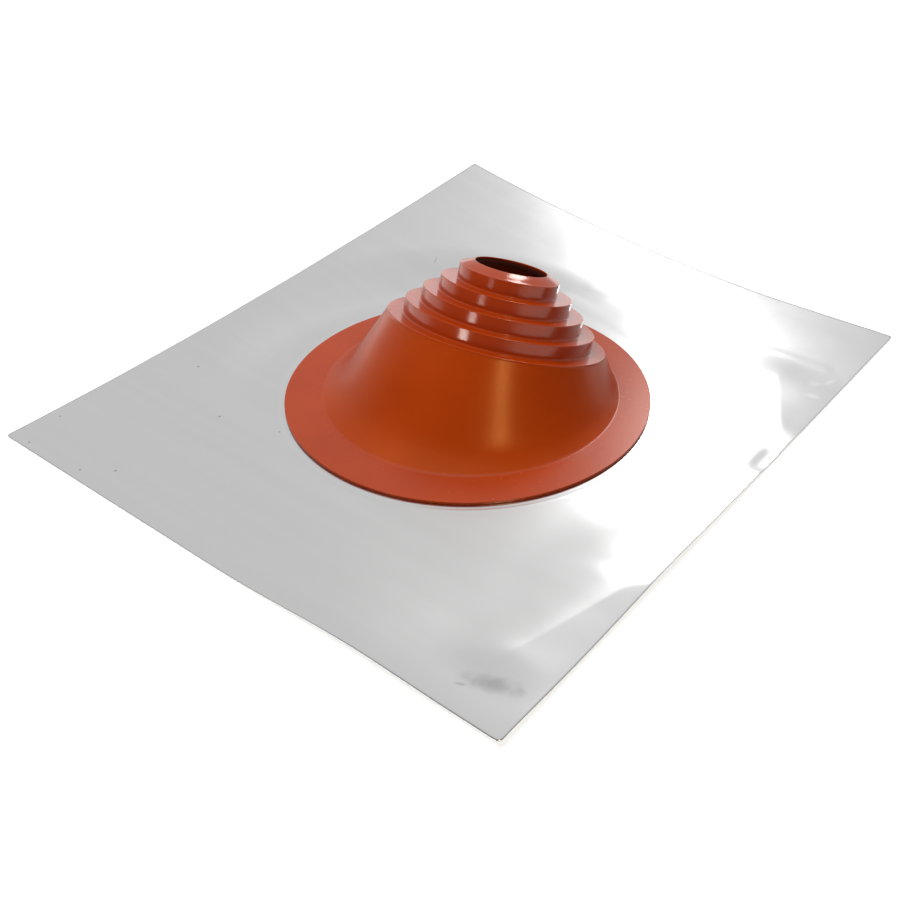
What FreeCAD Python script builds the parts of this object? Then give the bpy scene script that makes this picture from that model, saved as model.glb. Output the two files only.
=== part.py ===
"""Roof flashing for a pipe: a moulded silicone boot bonded round the hole of a soft aluminium sheet.

Millimetres, +Z out of the roof, +Y up the slope.  The origin is the middle of the sheet's blank, on the
plane that the flashing lies on.  The boot's collar leans up the slope, so that on a pitched roof its rings
stand level round an upright pipe.  The installer cuts the collar off at the ring that suits the pipe.
"""
import FreeCAD
import Part
import math
import os

from FreeCAD import Vector

# Sheet: a rectangular blank of soft aluminium with a round hole
SHEET_WIDTH = 500.0
SHEET_LENGTH = 600.0
SHEET_THICKNESS = 0.8
SHEET_CORNER_RADIUS = 3.0

# Bends that handling has left in the sheet, as shares of its width and length
CURL_HEIGHT = 46.0
CURL_REACH_X = 0.8
CURL_POWER_X = 1.8
CURL_POWER_Y = 1.55
FLAT_MARGIN = 12.0
POLE_PITCH = 20.0
TRIM_MARGIN = 6.0
# Low swells of the edge: place across and along the sheet, height and reach
SWELLS = (
    (0.26, -0.5, 7.0, 75.0),
    (0.5, -0.18, 5.0, 95.0),
    (0.5, -0.5, 4.0, 80.0),
)

# Boot: flange on top of the sheet, hub through its hole, lip under the hole's edge, foot of the body
BOOT_CENTRE_Y = -20.0
FLANGE_RADIUS = 155.0
FLANGE_WIDTH = 29.0
FLANGE_THICKNESS = 2.4
FLANGE_EDGE_BREAK = 1.0
HUB_INSET = 5.0
HUB_WALL = 5.0
LIP_THICKNESS = 1.0
LIP_WIDTH = 14.0
FOOT_SHIFT_Y = 3.5
FOOT_FLARE = 0.2
FOOT_FLARE_POWER = 8
FOOT_EXTRA_WALL = 1.5

# Collar: rings stacked on a leaning axis, the lowest of them being the rim of the body
COLLAR_LEAN_DEG = 20.0
COLLAR_BASE_Y = 40.0
COLLAR_BASE_Z = 45.0
RING_RADII = (95.0, 82.0, 69.5, 56.5, 43.0)
RING_HEIGHT = 12.4
RING_EDGE_BREAK = 1.0
OPENING_RADIUS = 31.0
CROWN_RISE = 4.8
WALL = 3.2

# Radii that follow from the flange: the body's foot, the sheet's hole, and the boot's mouth in it
FOOT_RADIUS = FLANGE_RADIUS - FLANGE_WIDTH
HOLE_RADIUS = FOOT_RADIUS - HUB_INSET
MOUTH_RADIUS = HOLE_RADIUS - HUB_WALL
# Heights above the plane that the flashing lies on
SHEET_BOTTOM = LIP_THICKNESS
SHEET_TOP = SHEET_BOTTOM + SHEET_THICKNESS
FLANGE_TOP = SHEET_TOP + FLANGE_THICKNESS
BOOT_CENTRE = Vector(0, BOOT_CENTRE_Y, 0)
BODY_STATIONS = (0.0, 0.045, 0.1, 0.17, 0.28, 0.5, 0.75, 1.0)
HOLLOW_STATIONS = (0.0, 0.12, 0.3, 0.5, 0.75, 1.0)


def smooth_step(share):
    """0 to 1, level and without curvature at both ends."""
    t = min(max(share, 0.0), 1.0)
    return t * t * t * (10 - 15 * t + 6 * t * t)


def bend(x, y):
    """Height to which handling has bent the sheet at one place, as if nothing held its middle flat."""
    across = max(0.0, 1 - (x / SHEET_WIDTH + 0.5) / CURL_REACH_X)
    along = max(0.0, y / SHEET_LENGTH + 0.5)
    height = CURL_HEIGHT * across ** CURL_POWER_X * along ** CURL_POWER_Y
    for share_x, share_y, rise, reach in SWELLS:
        away = math.hypot(x - share_x * SHEET_WIDTH, y - share_y * SHEET_LENGTH)
        height += rise * math.exp(-(away / reach) ** 2)
    return height


def sheet_height(x, y):
    """Height of the sheet's underside: level round the boot, easing into the bends outside it."""
    flat_radius = FLANGE_RADIUS + FLAT_MARGIN
    ease_width = SHEET_WIDTH / 2 - flat_radius
    away = math.hypot(x, y - BOOT_CENTRE_Y) - flat_radius
    return SHEET_BOTTOM + (bend(x, y) - SHEET_BOTTOM) * smooth_step(away / ease_width)


def spline_direction(length):
    """Knots, multiplicities and pole places of an even cubic along one side of the blank."""
    spans = max(4, round(length / POLE_PITCH))
    knots = [length * (i / spans - 0.5) for i in range(spans + 1)]
    clamped = knots[:1] * 3 + knots + knots[-1:] * 3
    poles = [sum(clamped[i + 1:i + 4]) / 3 for i in range(spans + 3)]
    return knots, [4] + [1] * (spans - 1) + [4], poles


def bent_plate():
    """A bent face a little larger than the blank, thickened upwards."""
    knots_x, counts_x, poles_x = spline_direction(SHEET_WIDTH + 2 * TRIM_MARGIN)
    knots_y, counts_y, poles_y = spline_direction(SHEET_LENGTH + 2 * TRIM_MARGIN)
    poles = [[Vector(x, y, sheet_height(x, y)) for y in poles_y] for x in poles_x]
    underside = Part.BSplineSurface()
    underside.buildFromPolesMultsKnots(poles, counts_x, counts_y, knots_x, knots_y, False, False, 3, 3)
    return underside.toShape().extrude(Vector(0, 0, SHEET_THICKNESS))


def make_sheet():
    """The bent plate trimmed to the blank's outline, with the hole that the boot fills."""
    reach = 4 * CURL_HEIGHT
    corner = Vector(-SHEET_WIDTH / 2, -SHEET_LENGTH / 2, -reach / 2)
    blank = Part.makeBox(SHEET_WIDTH, SHEET_LENGTH, reach, corner)
    uprights = [edge for edge in blank.Edges if abs(edge.tangentAt(edge.FirstParameter).z) > 0.5]
    blank = blank.makeFillet(SHEET_CORNER_RADIUS, uprights)
    hole = Part.makeCylinder(HOLE_RADIUS, 2 * SHEET_TOP, BOOT_CENTRE)
    return bent_plate().common(blank).cut(hole)


def revolved(points):
    """Solid of a half section, given as radius and height, turned round +Z."""
    corners = [Vector(radius, 0, height) for radius, height in points]
    section = Part.Face(Part.makePolygon(corners + corners[:1]))
    return section.revolve(Vector(0, 0, 0), Vector(0, 0, 1), 360)


def ring_steps(inset):
    """Steps of the collar from its rim up to its crown, drawn in by the same amount everywhere."""
    steps = []
    for level, radius in enumerate(RING_RADII):
        top = level * RING_HEIGHT - inset
        steps.append((radius - inset, top - (RING_HEIGHT if level else WALL - inset)))
        steps.append((radius - inset, top))
    return steps


def break_ring_edges(collar):
    """Take the sharpness off the outer top edge of each ring."""
    sharp = []
    for edge in collar.Edges:
        if edge.Curve.TypeId != "Part::GeomCircle":
            continue
        for level, radius in enumerate(RING_RADII):
            on_ring = abs(edge.Curve.Radius - radius) < 1e-6
            if on_ring and abs(edge.Curve.Center.z - level * RING_HEIGHT) < 1e-6:
                sharp.append(edge)
    return collar.makeChamfer(RING_EDGE_BREAK, sharp)


def collar_outside():
    crown = (len(RING_RADII) - 1) * RING_HEIGHT + CROWN_RISE
    section = [(0, -WALL)] + ring_steps(0) + [(OPENING_RADIUS, crown), (0, crown)]
    return break_ring_edges(revolved(section))


def collar_inside():
    crown = (len(RING_RADII) - 1) * RING_HEIGHT + CROWN_RISE
    mouth = [(OPENING_RADIUS, crown - WALL), (OPENING_RADIUS, crown + WALL), (0, crown + WALL)]
    return revolved([(0, -WALL)] + ring_steps(WALL)[1:] + mouth)


def lean(shape, degrees, centre):
    """Tip a shape made round +Z up the slope and put it at its centre, taken from the boot's own."""
    shape.rotate(Vector(0, 0, 0), Vector(1, 0, 0), -degrees)
    shape.translate(BOOT_CENTRE + centre)
    return shape


def collar_point(height):
    """A place on the collar's axis, from the middle of the rim's plane."""
    angle = math.radians(COLLAR_LEAN_DEG)
    return Vector(0, COLLAR_BASE_Y + height * math.sin(angle), COLLAR_BASE_Z + height * math.cos(angle))


def body_hoop(share, inset, rim_depth):
    """Round section of the body: level at the foot, leaning as the collar does where it meets the rim."""
    spread = (1 - FOOT_FLARE) * (1 - share) + FOOT_FLARE * (1 - share) ** FOOT_FLARE_POWER
    rim = collar_point(-rim_depth)
    radius = RING_RADII[0] + (FOOT_RADIUS - RING_RADII[0]) * spread
    centre = Vector(0, rim.y + (FOOT_SHIFT_Y - rim.y) * spread, FLANGE_TOP + (rim.z - FLANGE_TOP) * share)
    rise = RING_RADII[0] * math.sin(math.radians(COLLAR_LEAN_DEG)) * share
    hoop = Part.Wire(Part.makeCircle(radius - inset))
    return lean(hoop, math.degrees(math.asin(rise / radius)), centre)


def body_outside():
    """Straight oblique cone whose foot flares out onto the flange."""
    return Part.makeLoft([body_hoop(share, 0, RING_EDGE_BREAK) for share in BODY_STATIONS], True, True)


def body_inside():
    hoops = [body_hoop(share, WALL + FOOT_EXTRA_WALL * (1 - share), WALL) for share in HOLLOW_STATIONS]
    return Part.makeLoft(hoops, True, True)


def flange():
    """Disc on the sheet, with its hub through the hole and a lip gripping the hole's edge from below."""
    lip_radius = HOLE_RADIUS + LIP_WIDTH
    disc = revolved([
        (0, 0), (lip_radius, 0), (lip_radius, SHEET_BOTTOM), (HOLE_RADIUS, SHEET_BOTTOM),
        (HOLE_RADIUS, SHEET_TOP), (FLANGE_RADIUS, SHEET_TOP), (FLANGE_RADIUS, FLANGE_TOP), (0, FLANGE_TOP),
    ])
    rim = [edge for edge in disc.Edges if edge.BoundBox.ZMin > FLANGE_TOP - 1e-3 and edge.Length > FLANGE_RADIUS]
    disc = disc.makeChamfer(FLANGE_EDGE_BREAK, rim)
    disc.translate(BOOT_CENTRE)
    return disc


def make_boot():
    """One hollow moulding: flange, oblique body and stepped collar, open below and at the crown."""
    rim_centre = collar_point(0)
    outside = flange().fuse([body_outside(), lean(collar_outside(), COLLAR_LEAN_DEG, rim_centre)])
    mouth = Part.makeCylinder(MOUTH_RADIUS, FLANGE_TOP + WALL, BOOT_CENTRE - Vector(0, 0, WALL))
    inside = mouth.fuse([body_inside(), lean(collar_inside(), COLLAR_LEAN_DEG, rim_centre)])
    return outside.cut(inside).removeSplitter()


NODES = {
    "silicone_boot": make_boot,
    "aluminium_sheet": make_sheet,
}

os.makedirs("parts", exist_ok=True)
for node, make in NODES.items():
    shape = make()
    shape.exportStep(f"parts/{node}.step")
    box = shape.BoundBox
    print(f"{node}: {len(shape.Solids)} solid, {shape.Volume / 1000:.1f} cm3, top {box.ZMax:.1f} mm")
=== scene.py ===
"""Looks of the pipe flashing boot: a silicone boot in a bent sheet of soft aluminium, on a white floor.

The pieces are drawn in millimetres in the CAD's frame, +Z out of the roof and +Y up the slope.  The camera,
the lamps and the room are placed in metres and degrees.
"""
import math
import bpy
from mathutils import Matrix, Vector, noise


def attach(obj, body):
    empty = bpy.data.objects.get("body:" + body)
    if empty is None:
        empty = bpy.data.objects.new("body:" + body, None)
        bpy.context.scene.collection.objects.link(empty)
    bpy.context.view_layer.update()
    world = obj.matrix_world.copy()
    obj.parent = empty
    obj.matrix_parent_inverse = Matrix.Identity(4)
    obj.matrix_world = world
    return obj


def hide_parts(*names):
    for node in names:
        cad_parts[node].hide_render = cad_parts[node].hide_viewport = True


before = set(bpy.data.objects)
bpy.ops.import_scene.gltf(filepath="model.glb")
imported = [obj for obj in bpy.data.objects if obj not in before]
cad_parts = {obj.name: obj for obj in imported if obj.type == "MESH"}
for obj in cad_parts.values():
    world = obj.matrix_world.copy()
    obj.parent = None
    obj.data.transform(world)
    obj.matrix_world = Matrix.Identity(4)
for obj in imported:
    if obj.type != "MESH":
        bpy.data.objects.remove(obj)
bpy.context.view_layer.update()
MM = 0.001

# Sheet, as in the CAD source
SHEET_WIDTH = 500.0
SHEET_LENGTH = 600.0
SHEET_THICKNESS = 0.8
SHEET_CORNER_RADIUS = 3.0
CURL_HEIGHT = 46.0
CURL_REACH_X = 0.8
CURL_POWER_X = 1.8
CURL_POWER_Y = 1.55
FLAT_MARGIN = 12.0
# Low swells of the edge: place across and along the sheet, height and reach
SWELLS = (
    (0.26, -0.5, 7.0, 75.0),
    (0.5, -0.18, 5.0, 95.0),
    (0.5, -0.5, 4.0, 80.0),
)

# Boot, as in the CAD source
BOOT_CENTRE_Y = -20.0
FLANGE_RADIUS = 155.0
FLANGE_WIDTH = 29.0
FLANGE_THICKNESS = 2.4
HUB_INSET = 5.0
HUB_WALL = 5.0
LIP_THICKNESS = 1.0
LIP_WIDTH = 14.0
FOOT_SHIFT_Y = 3.5
FOOT_FLARE = 0.2
FOOT_FLARE_POWER = 8
FOOT_EXTRA_WALL = 1.5
COLLAR_LEAN = math.radians(20.0)
COLLAR_BASE_Y = 40.0
COLLAR_BASE_Z = 45.0
RING_RADII = (95.0, 82.0, 69.5, 56.5, 43.0)
RING_HEIGHT = 12.4
OPENING_RADIUS = 31.0
CROWN_RISE = 4.8
WALL = 3.2

# Radii and heights that follow from these
FOOT_RADIUS = FLANGE_RADIUS - FLANGE_WIDTH
HOLE_RADIUS = FOOT_RADIUS - HUB_INSET
MOUTH_RADIUS = HOLE_RADIUS - HUB_WALL
SHEET_BOTTOM = LIP_THICKNESS
SHEET_TOP = SHEET_BOTTOM + SHEET_THICKNESS
FLANGE_TOP = SHEET_TOP + FLANGE_THICKNESS
CROWN_HEIGHT = (len(RING_RADII) - 1) * RING_HEIGHT + CROWN_RISE
CROWN_SLOPE = CROWN_RISE / (RING_RADII[-1] - OPENING_RADIUS)

# Forms that handling has pressed into the sheet.  A RUN is where along Y a form has its full height, from
# and to, and then the lengths over which it rises and fades.  The buckle comes first from the front of the
# right edge, then the dent with its tuck, then the facet behind it.
CREST_FALLOFF = 30
BUCKLE_CREST = (210, -250)
BUCKLE_SLANT = 0.26
BUCKLE_TURN = 11
BUCKLE_TURN_START = -150
BUCKLE_TURN_LENGTH = 30
BUCKLE_SLOPE = 0.08
BUCKLE_RUN = (-232, -128, 50, 26)
DENT_RIM = (176, 51)
DENT_RIM_CURVE_FRONT = 0.0092
DENT_RIM_CURVE_BACK = 0.0011
DENT_RIM_WIDTH = 20
DENT_HEIGHT = 1.0
DENT_RUN = (-35, 60, 90, 90)
TUCK_X = 232
TUCK_WIDTH = 14
TUCK_DEPTH = 0.8
TUCK_RUN = (40, 56, 14, 14)
FACET_CREST = ((199, 163), (245, 79))
FACET_SLOPE = 0.05
FACET_RUN = (98, 150, 14, 70)
FOLD_LINE = ((-20, 196), (60, 205), (140, 208), (226, 207))
FOLD_LINE_HEIGHT = 0.14
FOLD_LINE_HALF_WIDTH = 9.0
WRINKLE = ((-30, 169), (2, 164), (34, 157), (66, 146), (86, 150))
WRINKLE_HEIGHT = 0.35
WRINKLE_HALF_WIDTH = 13.0
# Ring that the flange's edge has pressed into the sheet round itself
PRESS_RING_OFFSET = 6.5
PRESS_RING_HEIGHT = 0.1
PRESS_RING_HALF_WIDTH = 2.4
# Waves of the soft sheet: how many to a millimetre, which layer of the noise, share of the height; they
# start a little outside the flange
WAVE_HEIGHT = 0.28
WAVES = ((0.014, 3.1, 1.0), (0.033, 7.7, 0.5))
WAVE_MARGIN = 8
WAVE_EASE = 40

# Smudges and specks, then scuffs: place, half length, half width, turn in degrees, strength
DARK_MARKS = (
    (220, -268, 26, 8, 22, 0.6),
    (205, -280, 5, 2, 25, 0.6),
    (184, -63, 24, 10, 60, 0.12),
    (-239, -258, 1.6, 1.2, 0, 1.0),
    (-227, -294, 1.6, 1.2, 0, 1.0),
    (-142, -275, 1.6, 1.2, 0, 1.0),
    (-164, -291, 1.5, 1.2, 0, 1.0),
    (-206, -141, 1.5, 1.2, 0, 1.0),
    (-81, -162, 1.5, 1.2, 0, 1.0),
    (-135, -178, 1.5, 1.2, 0, 1.0),
    (-166, 132, 6.5, 0.7, -66, 0.6),
)
PALE_MARKS = (
    (235, 157, 8, 5, 10, 0.9),
    (237, 187, 11, 4, 70, 0.8),
    (228, 176, 10, 6, 40, 0.7),
)
# How far noise eats into a mark's edge, and the distances at which the mark starts and is full
MARK_RAGGEDNESS = 1.2
MARK_START = 1.7
MARK_FULL = 0.6

# Meshes: counts of points, and the radii close beside the flange, from the middle of the pressed ring
OUTLINE_COUNT = 560
CORNER_STEPS = 4
UNDERSIDE_STEPS = 24
TOP_STEPS = 96
UNDER_FLANGE = 3.0
PRESS_RING_STEPS = (-5, -3.2, -2.2, -1.5, -0.8, 0, 0.8, 1.5, 2.2, 3.2, 5, 8)
BOOT_SIDES = 240
CORNER_ROUNDS = 2
# Hoops of the moulding: how far the neighbours of a corner stand from it, which sets how round it is
EDGE_BREAK = 1.1
FLANGE_SHOULDER = 1.3
RING_SHOULDER = 1.2
RING_LAND = 4.0
RING_SIDE = 5.0
RING_FOOT_EASE = 1.8
RING_FOOT_CORNER = 0.1
CROWN_STATIONS = (5.5, 1.2, 0.0)
OPENING_EDGE = 1.2
HOLLOW_SHOULDER = 1.0
HOLLOW_FOOT_EASE = 0.4
# Shares of the way from the flange's edge in to the foot, and from the foot up to the collar
FLANGE_STATIONS = (0.25, 0.55, 0.8, 0.93)
BODY_STATIONS = (0.0, 0.03, 0.07, 0.12, 0.18, 0.28, 0.42, 0.6, 0.8, 0.95)
HOLLOW_STATIONS = (0.95, 0.75, 0.5, 0.3, 0.12, 0.05)

# Finishes of the boot, in the order of its materials; the inside starts a few hoops past the crown, and there
# the silicone is darkened as painted shade
FLANGE, BODY, COLLAR, INSIDE_PAINTED_SHADE = range(4)
RIM_HOOPS = 3
# Part of a noise texture's range that a ramp spreads its two colours over
RAMP_SPAN = (0.3, 0.7)
# How far the silicone's roughness varies from place to place
ROUGHNESS_SPREAD = 0.015
# Colour sockets of a Mix node: first input, second input, result
MIX_FIRST = 6
MIX_SECOND = 7
MIX_RESULT = 2

# Camera: round from -Y towards +X, above the floor and rolled, in degrees; what it looks at; its lens
CAMERA_AZIMUTH = 37.29
CAMERA_ELEVATION = 36.51
CAMERA_ROLL = 0.65
CAMERA_TARGET = (0.0803, -0.0794, 0.0018)
CAMERA_DISTANCE = 0.8332
CAMERA_LENS = 42.56
CAMERA_SHIFT = (-0.0558, 0.0090)

# Studio: the room is brighter along one direction, with a pale window side round another; each fade gives
# the cosines from the direction where it starts and ends, and each strength the light there
ROOM_DIRECTION = (-0.557, 0.663, 0.5)
ROOM_FADE = (0.1, 0.65)
ROOM_STRENGTH = (0.12, 0.61)
WINDOW_DIRECTION = (-0.4145, 0.718, 0.559)
WINDOW_FADE = (0.95, 0.998)
WINDOW_STRENGTH = (0.0, 0.08)
FLOOR_HALF_SIZE = 6.0
FLOOR_DROP = 0.0004
FLOOR_COLOUR = (0.8, 0.8, 0.8, 1)
FLOOR_GLOW = 0.45


def smooth_step(share):
    """0 to 1, level and without curvature at both ends."""
    t = min(max(share, 0.0), 1.0)
    return t * t * t * (10 - 15 * t + 6 * t * t)


# ---------------------------------------------------------------- camera
def make_camera():
    """Stands beyond the sheet's front right corner and looks down across it at the boot."""
    azimuth, elevation, roll = map(math.radians, (CAMERA_AZIMUTH, CAMERA_ELEVATION, CAMERA_ROLL))
    back = Vector((
        math.sin(azimuth) * math.cos(elevation),
        -math.cos(azimuth) * math.cos(elevation),
        math.sin(elevation),
    ))
    level = Vector((math.cos(azimuth), math.sin(azimuth), 0))
    upright = back.cross(level)
    right = level * math.cos(roll) + upright * math.sin(roll)
    up = upright * math.cos(roll) - level * math.sin(roll)
    camera = bpy.data.objects.new("camera", bpy.data.cameras.new("camera"))
    bpy.context.scene.collection.objects.link(camera)
    camera.data.lens = CAMERA_LENS
    camera.data.sensor_width = 36.0
    camera.data.shift_x, camera.data.shift_y = CAMERA_SHIFT
    camera.data.clip_start = 0.01
    camera.data.clip_end = 30
    place = Matrix.Translation(Vector(CAMERA_TARGET) + back * CAMERA_DISTANCE)
    camera.matrix_world = place @ Matrix((right, up, back)).transposed().to_4x4()
    bpy.context.scene.camera = camera


# ---------------------------------------------------------------- meshes
def new_piece(name, vertices, faces, materials, node):
    """A smooth piece from places in millimetres, which stands in for one node of the CAD."""
    mesh = bpy.data.meshes.new(name)
    mesh.from_pydata([[c * MM for c in vertex] for vertex in vertices], [], faces)
    mesh.validate()
    mesh.shade_smooth()
    piece = bpy.data.objects.new(name, mesh)
    bpy.context.scene.collection.objects.link(piece)
    for material in materials:
        mesh.materials.append(material)
    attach(piece, "root")
    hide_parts(node)
    return piece


def bend(x, y):
    """Height to which handling has bent the sheet at one place, as if nothing held its middle flat."""
    across = max(0.0, 1 - (x / SHEET_WIDTH + 0.5) / CURL_REACH_X)
    along = max(0.0, y / SHEET_LENGTH + 0.5)
    height = CURL_HEIGHT * across ** CURL_POWER_X * along ** CURL_POWER_Y
    for share_x, share_y, rise, reach in SWELLS:
        away = math.hypot(x - share_x * SHEET_WIDTH, y - share_y * SHEET_LENGTH)
        height += rise * math.exp(-(away / reach) ** 2)
    return height


def sheet_height(x, y):
    """Height of the sheet's underside, as the CAD has it."""
    flat_radius = FLANGE_RADIUS + FLAT_MARGIN
    ease_width = SHEET_WIDTH / 2 - flat_radius
    away = math.hypot(x, y - BOOT_CENTRE_Y) - flat_radius
    return SHEET_BOTTOM + (bend(x, y) - SHEET_BOTTOM) * smooth_step(away / ease_width)


def ridge(distance, half_width):
    """1 on a line, falling smoothly to 0 at the half width."""
    return smooth_step(1 - abs(distance) / half_width)


def window(value, start, end, rise, fade):
    """1 between two values, easing to 0 outside them."""
    return smooth_step((value - start) / rise + 1) * smooth_step((end - value) / fade + 1)


def crease(x, crest, slope):
    """Height of a fold beside the right edge: a flat facet from its crest to the edge, a soft inner side."""
    to_edge = max(0.0, SHEET_WIDTH / 2 - crest)
    facet = min(max(x - crest, 0.0), to_edge)
    return slope * (to_edge - facet) * math.exp(-(max(crest - x, 0.0) / CREST_FALLOFF) ** 2)


def buckle(x, y):
    """Soft fold that starts near the front right corner and slants out to the right edge."""
    crest_x, crest_y = BUCKLE_CREST
    turn = BUCKLE_TURN * smooth_step((y - BUCKLE_TURN_START) / BUCKLE_TURN_LENGTH)
    crest = crest_x + BUCKLE_SLANT * (y - crest_y) + turn
    return crease(x, crest, BUCKLE_SLOPE) * window(y, *BUCKLE_RUN)


def pressed_dent(x, y):
    """Shallow swelling beside the right edge, with a rounded rim on its inner side and a tuck at the edge."""
    rim_x, rim_y = DENT_RIM
    curve = DENT_RIM_CURVE_FRONT if y < rim_y else DENT_RIM_CURVE_BACK
    rim = rim_x + curve * (y - rim_y) ** 2
    swelling = DENT_HEIGHT * smooth_step((x - rim) / DENT_RIM_WIDTH) * window(y, *DENT_RUN)
    tuck = TUCK_DEPTH * smooth_step((x - TUCK_X) / TUCK_WIDTH) * window(y, *TUCK_RUN)
    return swelling - tuck


def edge_facet(x, y):
    """Flat facet behind the dent, bent down to the edge along a slanting line."""
    (back_x, back_y), (front_x, front_y) = FACET_CREST
    crest = back_x + (front_x - back_x) * (back_y - min(y, back_y)) / (back_y - front_y)
    return crease(x, crest, FACET_SLOPE) * window(y, *FACET_RUN)


def polyline_ridge(x, y, points, half_width):
    """Ridge along a run of points, with round ends."""
    best = 0.0
    for (x0, y0), (x1, y1) in zip(points, points[1:]):
        run_x, run_y = x1 - x0, y1 - y0
        share = ((x - x0) * run_x + (y - y0) * run_y) / (run_x ** 2 + run_y ** 2)
        share = min(max(share, 0.0), 1.0)
        distance = math.hypot(x - x0 - share * run_x, y - y0 - share * run_y)
        best = max(best, ridge(distance, half_width))
    return best


def waves(x, y):
    """Faint unevenness of the soft sheet."""
    layers = (share * noise.noise(Vector((x * pitch, y * pitch, layer))) for pitch, layer, share in WAVES)
    return WAVE_HEIGHT * sum(layers)


def relief(x, y):
    """Small forms that handling has pressed into the sheet, on top of its wide bends."""
    height = buckle(x, y) + pressed_dent(x, y) + edge_facet(x, y)
    height += FOLD_LINE_HEIGHT * polyline_ridge(x, y, FOLD_LINE, FOLD_LINE_HALF_WIDTH)
    height += WRINKLE_HEIGHT * polyline_ridge(x, y, WRINKLE, WRINKLE_HALF_WIDTH)
    away = math.hypot(x, y - BOOT_CENTRE_Y) - FLANGE_RADIUS
    height += PRESS_RING_HEIGHT * ridge(away - PRESS_RING_OFFSET, PRESS_RING_HALF_WIDTH)
    return height + waves(x, y) * smooth_step((away - WAVE_MARGIN) / WAVE_EASE)


def outline_corners():
    """Ends of the blank's straight sides and points of its small corner arcs, from the back right round."""
    half_width, half_length = SHEET_WIDTH / 2, SHEET_LENGTH / 2
    points = []
    for quarter, (side_x, side_y) in enumerate(((1, 1), (-1, 1), (-1, -1), (1, -1))):
        centre_x = side_x * (half_width - SHEET_CORNER_RADIUS)
        centre_y = side_y * (half_length - SHEET_CORNER_RADIUS)
        for step in range(CORNER_STEPS + 1):
            angle = math.radians(90 * (quarter + step / CORNER_STEPS))
            points.append((
                centre_x + SHEET_CORNER_RADIUS * math.cos(angle),
                centre_y + SHEET_CORNER_RADIUS * math.sin(angle),
            ))
    return points


def outline_points(count):
    """About as many points as asked, evenly along the blank's outline."""
    points = outline_corners()
    pitch = 2 * (SHEET_WIDTH + SHEET_LENGTH) / count
    dense = []
    for (x0, y0), (x1, y1) in zip(points, points[1:] + points[:1]):
        spans = max(1, round(math.hypot(x1 - x0, y1 - y0) / pitch))
        dense += [(x0 + (x1 - x0) * i / spans, y0 + (y1 - y0) * i / spans) for i in range(spans)]
    return dense


def sheet_columns(outline, far_steps):
    """Runs of places from the hole's edge out to the blank's edge, close together beside the flange."""
    near = [HOLE_RADIUS, FLANGE_RADIUS - UNDER_FLANGE]
    near += [FLANGE_RADIUS + PRESS_RING_OFFSET + step for step in PRESS_RING_STEPS]
    columns = []
    for x, y in outline:
        dx, dy = x, y - BOOT_CENTRE_Y
        reach = math.hypot(dx, dy)
        radii = near + [near[-1] + (reach - near[-1]) * (i + 1) / far_steps for i in range(far_steps)]
        columns.append([(dx / reach * r, BOOT_CENTRE_Y + dy / reach * r) for r in radii])
    return columns


def make_sheet(material):
    """Top and underside of the bent blank, joined at its outline and round the hole."""
    outline = outline_points(OUTLINE_COUNT)
    vertices, faces, rims = [], [], []
    for lift, far_steps, is_top in ((0.0, UNDERSIDE_STEPS, False), (SHEET_THICKNESS, TOP_STEPS, True)):
        columns = sheet_columns(outline, far_steps)
        rows, start = len(columns[0]), len(vertices)
        for column in columns:
            for x, y in column:
                underside = max(0.0, sheet_height(x, y) + relief(x, y))
                vertices.append((x, y, underside + lift))
        for i in range(len(columns)):
            here, after = start + i * rows, start + (i + 1) % len(columns) * rows
            for k in range(rows - 1):
                quad = (here + k, here + k + 1, after + k + 1, after + k)
                faces.append(quad if is_top else quad[::-1])
        rims.append([(start + i * rows, start + i * rows + rows - 1) for i in range(len(columns))])
    under, top = rims
    for i in range(len(outline)):
        j = (i + 1) % len(outline)
        faces.append((under[i][1], under[j][1], top[j][1], top[i][1]))
        faces.append((top[i][0], top[j][0], under[j][0], under[i][0]))
    name, slot, node = "aluminium_sheet_dressed", "soft_aluminium", "aluminium_sheet"
    return new_piece(name, vertices, faces, [material], node)


def collar_point(height):
    """A place on the collar's axis, as y and z from the boot's centre."""
    return (
        COLLAR_BASE_Y + height * math.sin(COLLAR_LEAN),
        COLLAR_BASE_Z + height * math.cos(COLLAR_LEAN),
    )


# A hoop is a round section of the moulding: centre y, centre z, radius and tilt.
def level_hoop(radius, height, centre_y=0.0):
    """A hoop of the flange or of the mouth."""
    return (centre_y, height, radius, 0.0)


def collar_hoop(radius, height):
    """A hoop that leans with the collar."""
    return (*collar_point(height), radius, COLLAR_LEAN)


def body_hoop(share, inset, rim_height):
    """A hoop of the body: level at the foot, leaning as the collar does where it meets the rim."""
    spread = (1 - FOOT_FLARE) * (1 - share) + FOOT_FLARE * (1 - share) ** FOOT_FLARE_POWER
    rim_y, rim_z = collar_point(rim_height)
    radius = RING_RADII[0] + (FOOT_RADIUS - RING_RADII[0]) * spread
    tilt = math.asin(RING_RADII[0] * math.sin(COLLAR_LEAN) * share / radius)
    return (
        rim_y + (FOOT_SHIFT_Y - rim_y) * spread,
        FLANGE_TOP + (rim_z - FLANGE_TOP) * share,
        radius - inset,
        tilt,
    )


def flange_hoops():
    """Edge and top of the flange, in to the body's foot."""
    hoops = [
        level_hoop(FLANGE_RADIUS, SHEET_TOP),
        level_hoop(FLANGE_RADIUS, FLANGE_TOP - EDGE_BREAK),
        level_hoop(FLANGE_RADIUS, FLANGE_TOP),
        level_hoop(FLANGE_RADIUS - FLANGE_SHOULDER, FLANGE_TOP),
    ]
    for share in FLANGE_STATIONS:
        radius = FLANGE_RADIUS + (FOOT_RADIUS - FLANGE_RADIUS) * share
        hoops.append(level_hoop(radius, FLANGE_TOP, FOOT_SHIFT_Y * share))
    return hoops


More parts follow.
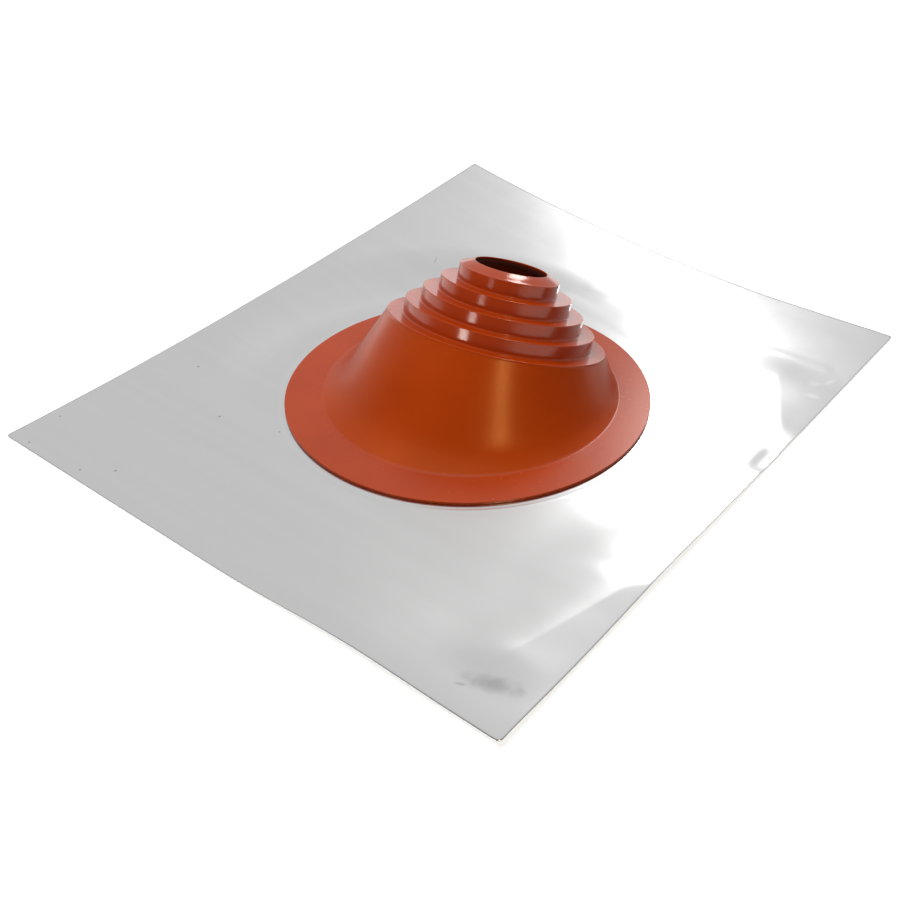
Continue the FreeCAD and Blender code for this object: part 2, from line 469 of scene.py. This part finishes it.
def ring_hoops():
    """Upright side and level top of each ring of the collar, from the rim up."""
    hoops = []
    for level, radius in enumerate(RING_RADII):
        top = level * RING_HEIGHT
        foot = top - RING_HEIGHT
        if level:
            hoops += [
                collar_hoop(radius + RING_FOOT_EASE, foot),
                collar_hoop(radius + RING_FOOT_CORNER, foot + RING_FOOT_CORNER),
                collar_hoop(radius, foot + RING_FOOT_EASE),
                collar_hoop(radius, top - RING_SIDE),
            ]
        hoops += [
            collar_hoop(radius, top - EDGE_BREAK),
            collar_hoop(radius, top),
            collar_hoop(radius - RING_SHOULDER, top),
        ]
        if level < len(RING_RADII) - 1:
            hoops.append(collar_hoop(radius - RING_LAND, top))
    return hoops


def crown_hoops():
    """Cone from the top ring in to the opening, and the opening's edge."""
    cone = [collar_hoop(OPENING_RADIUS + away, CROWN_HEIGHT - away * CROWN_SLOPE) for away in CROWN_STATIONS]
    edge = [collar_hoop(OPENING_RADIUS, CROWN_HEIGHT - depth) for depth in (OPENING_EDGE, WALL)]
    return cone + edge


def hollow_hoops():
    """The collar's steps and the body drawn in by the wall, from the crown down."""
    hoops = []
    for level in range(len(RING_RADII) - 1, -1, -1):
        radius, top = RING_RADII[level] - WALL, level * RING_HEIGHT - WALL
        foot = top - RING_HEIGHT
        hoops.append(collar_hoop(radius - HOLLOW_SHOULDER, top))
        hoops.append(collar_hoop(radius, top - HOLLOW_SHOULDER))
        if level:
            hoops.append(collar_hoop(radius, foot + HOLLOW_FOOT_EASE))
            hoops.append(collar_hoop(radius + HOLLOW_FOOT_EASE, foot))
    for share in HOLLOW_STATIONS:
        hoops.append(body_hoop(share, WALL + FOOT_EXTRA_WALL * (1 - share), -WALL))
    return hoops


def mouth_hoops():
    """Mouth in the hub, the lip under the sheet, and back along the lip to the hole's edge."""
    lip_radius = HOLE_RADIUS + LIP_WIDTH
    return [
        level_hoop(MOUTH_RADIUS, FLANGE_TOP - HOLLOW_SHOULDER),
        level_hoop(MOUTH_RADIUS, HOLLOW_SHOULDER),
        level_hoop(MOUTH_RADIUS, 0),
        level_hoop(MOUTH_RADIUS + HOLLOW_SHOULDER, 0),
        level_hoop(lip_radius - LIP_THICKNESS / 2, 0),
        level_hoop(lip_radius, LIP_THICKNESS / 5),
        level_hoop(lip_radius, LIP_THICKNESS),
        level_hoop(HOLE_RADIUS, LIP_THICKNESS),
        level_hoop(HOLE_RADIUS, SHEET_TOP),
    ]


def boot_hoops():
    """Closed run of hoops round the moulding's section; each corner has a close neighbour on either side."""
    body = [body_hoop(share, 0, -EDGE_BREAK) for share in BODY_STATIONS]
    return flange_hoops() + body + ring_hoops() + crown_hoops() + hollow_hoops() + mouth_hoops()


def rounded(hoops, rounds):
    """Cut the corners of a closed run, so that it bends smoothly from hoop to hoop."""
    for _ in range(rounds):
        finer = []
        for a, b in zip(hoops, hoops[1:] + hoops[:1]):
            finer.append(tuple(0.75 * p + 0.25 * q for p, q in zip(a, b)))
            finer.append(tuple(0.25 * p + 0.75 * q for p, q in zip(a, b)))
        hoops = finer
    return hoops


def boot_finish_and_shade(hoop, is_inside):
    """Which of the mould's finishes starts at a hoop; on the inside the silicone is darkened as painted
    shade.
    """
    _, centre_z, radius, tilt = hoop
    # Past the crown the inside takes the silicone darkened as painted shade
    if is_inside and tilt > 0:
        return INSIDE_PAINTED_SHADE
    if tilt >= COLLAR_LEAN - 1e-6:
        return COLLAR
    if radius < FOOT_RADIUS - 0.5 and centre_z > FLANGE_TOP:
        return BODY
    return FLANGE


def make_boot(finishes):
    """The moulding as hoops of points, each joined to the next and the last to the first."""
    hoops = rounded(boot_hoops(), CORNER_ROUNDS)
    vertices, faces = [], []
    for centre_y, centre_z, radius, tilt in hoops:
        for i in range(BOOT_SIDES):
            angle = 2 * math.pi * i / BOOT_SIDES
            across = radius * math.sin(angle)
            vertices.append((
                radius * math.cos(angle),
                BOOT_CENTRE_Y + centre_y + across * math.cos(tilt),
                centre_z - across * math.sin(tilt),
            ))
    for k in range(len(hoops)):
        here, after = k * BOOT_SIDES, (k + 1) % len(hoops) * BOOT_SIDES
        for i in range(BOOT_SIDES):
            j = (i + 1) % BOOT_SIDES
            faces.append((here + i, here + j, after + j, after + i))
    piece = new_piece("silicone_boot_dressed", vertices, faces, finishes, "silicone_boot")
    highest = max(range(len(hoops)), key=lambda k: hoops[k][1])
    for face in piece.data.polygons:
        k = face.index // BOOT_SIDES
        face.material_index = boot_finish_and_shade(hoops[k], k > highest + RIM_HOOPS)
    return piece


# ---------------------------------------------------------------- materials
def principled(name):
    """A new material with its nodes, its links and its shader."""
    material = bpy.data.materials.new(name)
    material.use_nodes = True
    nodes = material.node_tree.nodes
    return material, nodes, material.node_tree.links, nodes["Principled BSDF"]


def ramp_between(nodes, links, source, colour_low, colour_high):
    """A colour that follows a noise texture between two."""
    ramp = nodes.new("ShaderNodeValToRGB")
    for element, position, colour in zip(ramp.color_ramp.elements, RAMP_SPAN, (colour_low, colour_high)):
        element.position = position
        element.color = (*colour, 1)
    links.new(source, ramp.inputs["Fac"])
    return ramp.outputs["Color"]


def grey(value):
    """A colour without hue."""
    return (value, value, value)


def noise_texture(nodes, links, scale, detail):
    """Noise fixed to the piece, with its own scale along X, Y and Z."""
    place = nodes.new("ShaderNodeTexCoord")
    mapping = nodes.new("ShaderNodeMapping")
    mapping.inputs["Scale"].default_value = scale
    links.new(place.outputs["Object"], mapping.inputs["Vector"])
    texture = nodes.new("ShaderNodeTexNoise")
    texture.inputs["Scale"].default_value = 1.0
    texture.inputs["Detail"].default_value = detail
    links.new(mapping.outputs["Vector"], texture.inputs["Vector"])
    return texture.outputs["Fac"]


def add_bump(nodes, links, shader, height, strength, distance):
    """Fine grain of the surface, too small for the mesh."""
    bump = nodes.new("ShaderNodeBump")
    bump.inputs["Strength"].default_value = strength
    bump.inputs["Distance"].default_value = distance
    links.new(height, bump.inputs["Height"])
    links.new(bump.outputs["Normal"], shader.inputs["Normal"])


def silicone_material(name, roughness, specular, tint=(1, 1, 1), depth=1.0):
    """One silicone; the mould leaves its surface satin or glossy, and a depth below 1 darkens its colour as
    painted shade.
    """
    material, nodes, links, shader = principled(name)
    shader.inputs["Specular IOR Level"].default_value = specular
    shader.inputs["Specular Tint"].default_value = (*tint, 1)
    cloud = noise_texture(nodes, links, (14, 14, 14), 4)
    # A depth below 1 darkens both colours: painted shade for the unlit inside of the boot
    darker = (0.39 * depth, 0.038 * depth, 0.001)
    lighter = (0.45 * depth, 0.047 * depth, 0.002)
    links.new(ramp_between(nodes, links, cloud, darker, lighter), shader.inputs["Base Color"])
    fine = noise_texture(nodes, links, (260, 260, 260), 3)
    smoother = grey(roughness - ROUGHNESS_SPREAD)
    rougher = grey(roughness + ROUGHNESS_SPREAD)
    links.new(ramp_between(nodes, links, fine, smoother, rougher), shader.inputs["Roughness"])
    add_bump(nodes, links, shader, fine, 0.06, 0.0002)
    return material


def mark_mask(nodes, links, place, mark, ragged):
    """1 inside an ellipse that lies on the sheet, 0 outside it, with an edge broken up by noise."""
    x, y, half_length, half_width, turn, strength = mark
    mapping = nodes.new("ShaderNodeMapping")
    mapping.vector_type = "TEXTURE"
    mapping.inputs["Location"].default_value = (x * MM, y * MM, 0)
    mapping.inputs["Rotation"].default_value = (0, 0, math.radians(turn))
    mapping.inputs["Scale"].default_value = (half_length * MM, half_width * MM, 1)
    links.new(place, mapping.inputs["Vector"])
    length = nodes.new("ShaderNodeVectorMath")
    length.operation = "LENGTH"
    links.new(mapping.outputs["Vector"], length.inputs[0])
    broken = nodes.new("ShaderNodeMath")
    broken.operation = "MULTIPLY_ADD"
    links.new(ragged, broken.inputs[0])
    broken.inputs[1].default_value = MARK_RAGGEDNESS
    links.new(length.outputs["Value"], broken.inputs[2])
    ease = nodes.new("ShaderNodeMapRange")
    ease.interpolation_type = "SMOOTHSTEP"
    ease.inputs["From Min"].default_value = MARK_START
    ease.inputs["From Max"].default_value = MARK_FULL
    ease.inputs["To Max"].default_value = strength
    links.new(broken.outputs[0], ease.inputs["Value"])
    return ease.outputs["Result"]


def blend_marks(nodes, links, place, ragged, marks, base, colour):
    """Lay marks of one colour over a base colour."""
    for mark in marks:
        mix = nodes.new("ShaderNodeMix")
        mix.data_type = "RGBA"
        links.new(mark_mask(nodes, links, place, mark, ragged), mix.inputs["Factor"])
        links.new(base, mix.inputs[MIX_FIRST])
        mix.inputs[MIX_SECOND].default_value = (*colour, 1)
        base = mix.outputs[MIX_RESULT]
    return base


def aluminium_material():
    """Soft rolled sheet, bright and a little cloudy, with the marks of handling."""
    material, nodes, links, shader = principled("soft_aluminium_handled")
    shader.inputs["Metallic"].default_value = 1.0
    rolled = noise_texture(nodes, links, (3, 70, 3), 4)
    base = ramp_between(nodes, links, rolled, grey(0.85), grey(0.875))
    place = nodes.new("ShaderNodeTexCoord").outputs["Object"]
    ragged = noise_texture(nodes, links, (110, 110, 110), 5)
    base = blend_marks(nodes, links, place, ragged, DARK_MARKS, base, grey(0.45))
    base = blend_marks(nodes, links, place, ragged, PALE_MARKS, base, grey(0.99))
    links.new(base, shader.inputs["Base Color"])
    cloud = noise_texture(nodes, links, (5, 14, 5), 3)
    links.new(ramp_between(nodes, links, cloud, grey(0.22), grey(0.24)), shader.inputs["Roughness"])
    add_bump(nodes, links, shader, rolled, 0.05, 0.0003)
    return material


# ---------------------------------------------------------------- studio
def make_floor():
    """White floor that takes the object's shadow, and glows a little for the camera and in reflections."""
    mesh = bpy.data.meshes.new("floor")
    corners = [(x * FLOOR_HALF_SIZE, y * FLOOR_HALF_SIZE, 0) for x, y in ((-1, -1), (1, -1), (1, 1), (-1, 1))]
    mesh.from_pydata(corners, [], [(0, 1, 2, 3)])
    floor = bpy.data.objects.new("floor", mesh)
    floor.location.z = -FLOOR_DROP
    bpy.context.scene.collection.objects.link(floor)
    material, nodes, links, shader = principled("floor_white")
    nodes.remove(shader)
    diffuse = nodes.new("ShaderNodeBsdfDiffuse")
    diffuse.inputs["Color"].default_value = FLOOR_COLOUR
    glow = nodes.new("ShaderNodeEmission")
    path = nodes.new("ShaderNodeLightPath")
    seen = path.outputs["Is Camera Ray"]
    for ray in ("Is Glossy Ray", "Is Transmission Ray"):
        either = nodes.new("ShaderNodeMath")
        either.operation = "MAXIMUM"
        links.new(seen, either.inputs[0])
        links.new(path.outputs[ray], either.inputs[1])
        seen = either.outputs[0]
    share = nodes.new("ShaderNodeMath")
    share.operation = "MULTIPLY"
    share.inputs[1].default_value = FLOOR_GLOW
    links.new(seen, share.inputs[0])
    links.new(share.outputs[0], glow.inputs["Strength"])
    both = nodes.new("ShaderNodeAddShader")
    links.new(diffuse.outputs[0], both.inputs[0])
    links.new(glow.outputs[0], both.inputs[1])
    links.new(both.outputs[0], nodes["Material Output"].inputs["Surface"])
    mesh.materials.append(material)


def make_world():
    """Plain grey room with a soft pale window side, darker where the camera stands."""
    world = bpy.data.worlds.new("studio")
    bpy.context.scene.world = world
    world.use_nodes = True
    nodes, links = world.node_tree.nodes, world.node_tree.links
    place = nodes.new("ShaderNodeTexCoord")
    total = nodes.new("ShaderNodeMath")
    lobes = ((ROOM_DIRECTION, ROOM_FADE, ROOM_STRENGTH), (WINDOW_DIRECTION, WINDOW_FADE, WINDOW_STRENGTH))
    for socket, (direction, fade, strength) in enumerate(lobes):
        along = nodes.new("ShaderNodeVectorMath")
        along.operation = "DOT_PRODUCT"
        along.inputs[1].default_value = direction
        links.new(place.outputs["Generated"], along.inputs[0])
        ease = nodes.new("ShaderNodeMapRange")
        ease.interpolation_type = "SMOOTHSTEP"
        ease.inputs["From Min"].default_value, ease.inputs["From Max"].default_value = fade
        ease.inputs["To Min"].default_value, ease.inputs["To Max"].default_value = strength
        links.new(along.outputs["Value"], ease.inputs["Value"])
        links.new(ease.outputs["Result"], total.inputs[socket])
    links.new(total.outputs[0], nodes["Background"].inputs["Strength"])
    nodes["Background"].inputs["Color"].default_value = (1, 1, 1, 1)


def soft_lamp(name, azimuth, elevation, distance, size, power):
    """A softbox that faces the collar; azimuth is from +Y towards +X."""
    data = bpy.data.lights.new(name, "AREA")
    data.shape = "RECTANGLE"
    data.size, data.size_y = size
    data.energy = power
    lamp = bpy.data.objects.new(name, data)
    bpy.context.scene.collection.objects.link(lamp)
    turn, tip = math.radians(azimuth), math.radians(elevation)
    direction = Vector((math.sin(turn) * math.cos(tip), math.cos(turn) * math.cos(tip), math.sin(tip)))
    collar = Vector((0, 0, 0.05))
    lamp.location = collar + direction * distance
    lamp.rotation_mode = "QUATERNION"
    lamp.rotation_quaternion = direction.to_track_quat("Z", "Y")
    return lamp


def make_lamps():
    """A wide key lamp overhead, which glossy surfaces don't mirror, and three small softboxes."""
    soft_lamp("lamp_window", azimuth=-16.5, elevation=36.5, distance=1.53, size=(0.23, 0.37), power=3.0)
    key = soft_lamp("lamp_key", azimuth=-122, elevation=71, distance=2.4, size=(2.2, 2.2), power=41)
    key.visible_glossy = False
    right = soft_lamp("lamp_right", azimuth=121, elevation=40, distance=2.0, size=(0.16, 0.42), power=5.4)
    right.data.color = (1.0, 0.82, 0.5)
    soft_lamp("lamp_low", azimuth=-176.5, elevation=5, distance=2.0, size=(0.34, 0.22), power=3.4)


bpy.context.scene.view_settings.view_transform = "Standard"
make_camera()
make_boot([
    silicone_material("silicone_flange", roughness=0.26, specular=0.5, tint=(1.0, 0.9, 0.8)),
    silicone_material("silicone_body", roughness=0.29, specular=0.5, tint=(1.0, 0.6, 0.25)),
    silicone_material("silicone_collar", roughness=0.14, specular=0.55, tint=(1.0, 0.88, 0.8)),
    # The inside: dull, and its colour darkened to 0.35 as painted shade
    silicone_material("silicone_inside_painted_shade", roughness=0.5, specular=0.1, depth=0.35),
])
make_sheet(aluminium_material())
make_floor()
make_world()
make_lamps()
